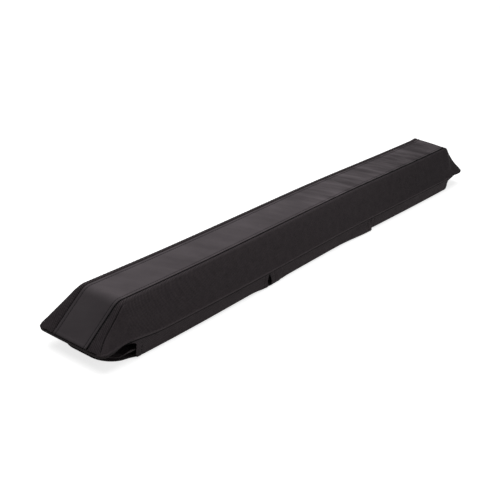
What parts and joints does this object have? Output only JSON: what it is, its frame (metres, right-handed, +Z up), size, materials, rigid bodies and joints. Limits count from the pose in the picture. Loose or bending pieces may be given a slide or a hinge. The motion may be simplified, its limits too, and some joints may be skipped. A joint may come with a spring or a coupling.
{
  "type": "roof rack pad",
  "caption": "Long wedge-ended foam pad in a sewn cover, with a hook-and-loop flap sleeve underneath that wraps a crossbar.",
  "frame": {"origin": "under the middle of the pad, on the sleeve's underside", "axes": "+X along the pad, +Z up from the sleeve to the padded top, -Y the side whose flaps are the sleeve's outer layer"},
  "size_m": [0.762, 0.08, 0.0555],
  "materials": {
    "foam": "closed-cell foam, matt, hidden inside the cover",
    "coated_cloth": "smooth coated cloth with a soft sheen and faint cross ripples",
    "woven_cloth": "near-black ribbed woven cloth, matt",
    "sleeve_cloth": "brownish black ribbed woven cloth, matt",
    "binding_tape": "woven edge tape, matt",
    "hook_tape": "fine plastic hooks on a woven tape",
    "loop_tape": "brushed loops on a woven tape"
  },
  "bodies": {
    "root": {"foam_core": "foam", "top_panel": "coated_cloth", "side_panel_front": "woven_cloth", "side_panel_back": "woven_cloth", "base_panel": "woven_cloth", "edge_binding": "binding_tape", "flap_front_1": "sleeve_cloth", "flap_front_2": "sleeve_cloth", "flap_front_3": "sleeve_cloth", "flap_back_1": "sleeve_cloth", "flap_back_2": "sleeve_cloth", "flap_back_3": "sleeve_cloth", "hook_tape_1": "hook_tape", "hook_tape_2": "hook_tape", "hook_tape_3": "hook_tape", "loop_tape_1": "loop_tape", "loop_tape_2": "loop_tape", "loop_tape_3": "loop_tape"}
  },
  "joints": []
}
